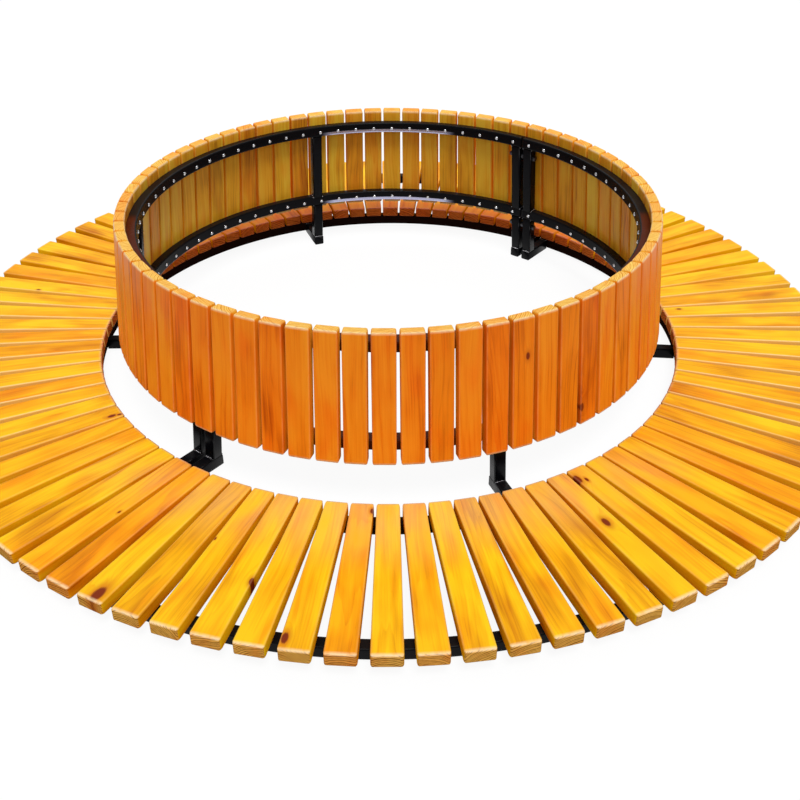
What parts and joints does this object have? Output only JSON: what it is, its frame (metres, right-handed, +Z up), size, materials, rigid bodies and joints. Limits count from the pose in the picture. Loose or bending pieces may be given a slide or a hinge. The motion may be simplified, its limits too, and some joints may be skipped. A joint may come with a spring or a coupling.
{
  "type": "tree bench",
  "caption": "Ring bench that stands round a tree: radial timber seat slats and a leaning slatted back on two bolted half rings of black square tube.",
  "frame": {"origin": "on the axis of the ring, where the tree stands, at the level of the arms' undersides", "axes": "+Z up; the picture looks along +Y from the -Y side, +X to its right"},
  "size_m": [2.6244, 2.6244, 0.4781],
  "materials": {
    "seat_timber": "satin oiled hardwood",
    "back_timber": "satin oiled hardwood",
    "black_tube": "glossy black powder coat",
    "screw_steel": "bright",
    "bolt_steel": "zinc plated"
  },
  "bodies": {
    "root": {"arm_inner_1": "black_tube", "arm_inner_2": "black_tube", "arm_inner_3": "black_tube", "arm_inner_4": "black_tube", "arm_inner_5": "black_tube", "arm_inner_6": "black_tube", "arm_inner_7": "black_tube", "arm_inner_8": "black_tube", "arm_outer_1": "black_tube", "arm_outer_2": "black_tube", "arm_outer_3": "black_tube", "arm_outer_4": "black_tube", "arm_outer_5": "black_tube", "arm_outer_6": "black_tube", "arm_outer_7": "black_tube", "arm_outer_8": "black_tube", "back_ring_low_front": "black_tube", "back_ring_low_rear": "black_tube", "back_ring_top_front": "black_tube", "back_ring_top_rear": "black_tube", "back_screws_low": "screw_steel", "back_screws_top": "screw_steel", "back_slats_front": "back_timber", "back_slats_left": "back_timber", "back_slats_rear": "back_timber", "back_slats_right": "back_timber", "joint_bolts": "bolt_steel", "joint_nuts": "bolt_steel", "joint_spacers": "bolt_steel", "joint_washers": "bolt_steel", "post_lower_1": "black_tube", "post_lower_2": "black_tube", "post_lower_3": "black_tube", "post_lower_4": "black_tube", "post_lower_5": "black_tube", "post_lower_6": "black_tube", "post_lower_7": "black_tube", "post_lower_8": "black_tube", "post_upper_1": "black_tube", "post_upper_2": "black_tube", "post_upper_3": "black_tube", "post_upper_4": "black_tube", "post_upper_5": "black_tube", "post_upper_6": "black_tube", "post_upper_7": "black_tube", "post_upper_8": "black_tube", "seat_ring_inner_front": "black_tube", "seat_ring_inner_rear": "black_tube", "seat_ring_outer_front": "black_tube", "seat_ring_outer_rear": "black_tube", "seat_screws_inner": "screw_steel", "seat_screws_outer": "screw_steel", "seat_slats_front": "seat_timber", "seat_slats_left": "seat_timber", "seat_slats_rear": "seat_timber", "seat_slats_right": "seat_timber"}
  },
  "joints": []
}
